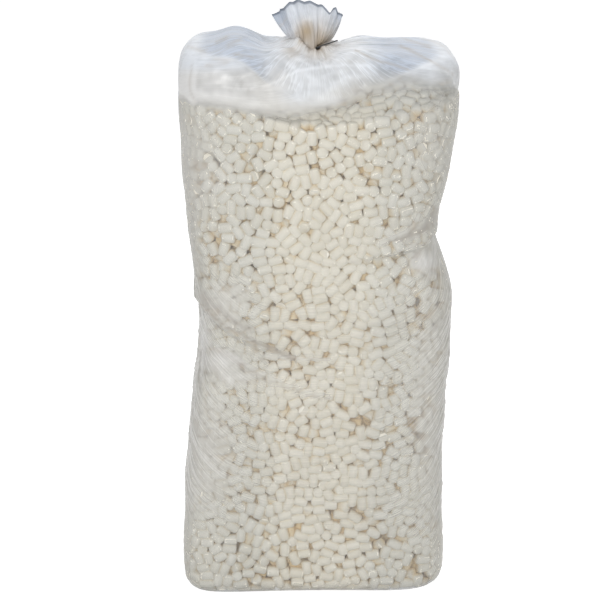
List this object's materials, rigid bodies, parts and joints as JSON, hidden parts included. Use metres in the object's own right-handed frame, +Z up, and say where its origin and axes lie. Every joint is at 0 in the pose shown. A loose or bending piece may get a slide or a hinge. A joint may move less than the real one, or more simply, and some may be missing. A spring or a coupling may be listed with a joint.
{
  "type": "packing peanut bag",
  "caption": "Tall clear film bag packed full of round foam peanuts, gathered at the top into a ruffle and closed with a cable tie. It stands on its flat base.",
  "frame": {"origin": "centre of the flat base, on the floor", "axes": "+Z up through the gathered neck, -Y towards the front, +X to the right of the front"},
  "size_m": [0.5418, 0.424, 1.1643],
  "materials": {
    "clear_film": "clear polyethylene film with a soft gloss, hazy where it lies slack",
    "packed_peanuts": "ivory starch foam, matt",
    "loose_peanut": "ivory starch foam, matt",
    "black_nylon": "black nylon"
  },
  "bodies": {
    "root": {"bag_film": "clear_film", "peanut_fill": "packed_peanuts", "cable_tie": "black_nylon", "peanut_01": "loose_peanut", "peanut_02": "loose_peanut", "peanut_03": "loose_peanut", "peanut_04": "loose_peanut", "peanut_05": "loose_peanut", "peanut_06": "loose_peanut", "peanut_07": "loose_peanut", "peanut_08": "loose_peanut", "peanut_09": "loose_peanut", "peanut_10": "loose_peanut", "peanut_11": "loose_peanut", "peanut_12": "loose_peanut", "peanut_13": "loose_peanut", "peanut_14": "loose_peanut", "peanut_15": "loose_peanut", "peanut_16": "loose_peanut", "peanut_17": "loose_peanut", "peanut_18": "loose_peanut", "peanut_19": "loose_peanut", "peanut_20": "loose_peanut", "peanut_21": "loose_peanut", "peanut_22": "loose_peanut", "peanut_23": "loose_peanut", "peanut_24": "loose_peanut", "peanut_25": "loose_peanut", "peanut_26": "loose_peanut", "peanut_27": "loose_peanut", "peanut_28": "loose_peanut", "peanut_29": "loose_peanut", "peanut_30": "loose_peanut", "peanut_31": "loose_peanut", "peanut_32": "loose_peanut", "peanut_33": "loose_peanut", "peanut_34": "loose_peanut", "peanut_35": "loose_peanut", "peanut_36": "loose_peanut", "peanut_37": "loose_peanut", "peanut_38": "loose_peanut", "peanut_39": "loose_peanut", "peanut_40": "loose_peanut"}
  },
  "joints": []
}
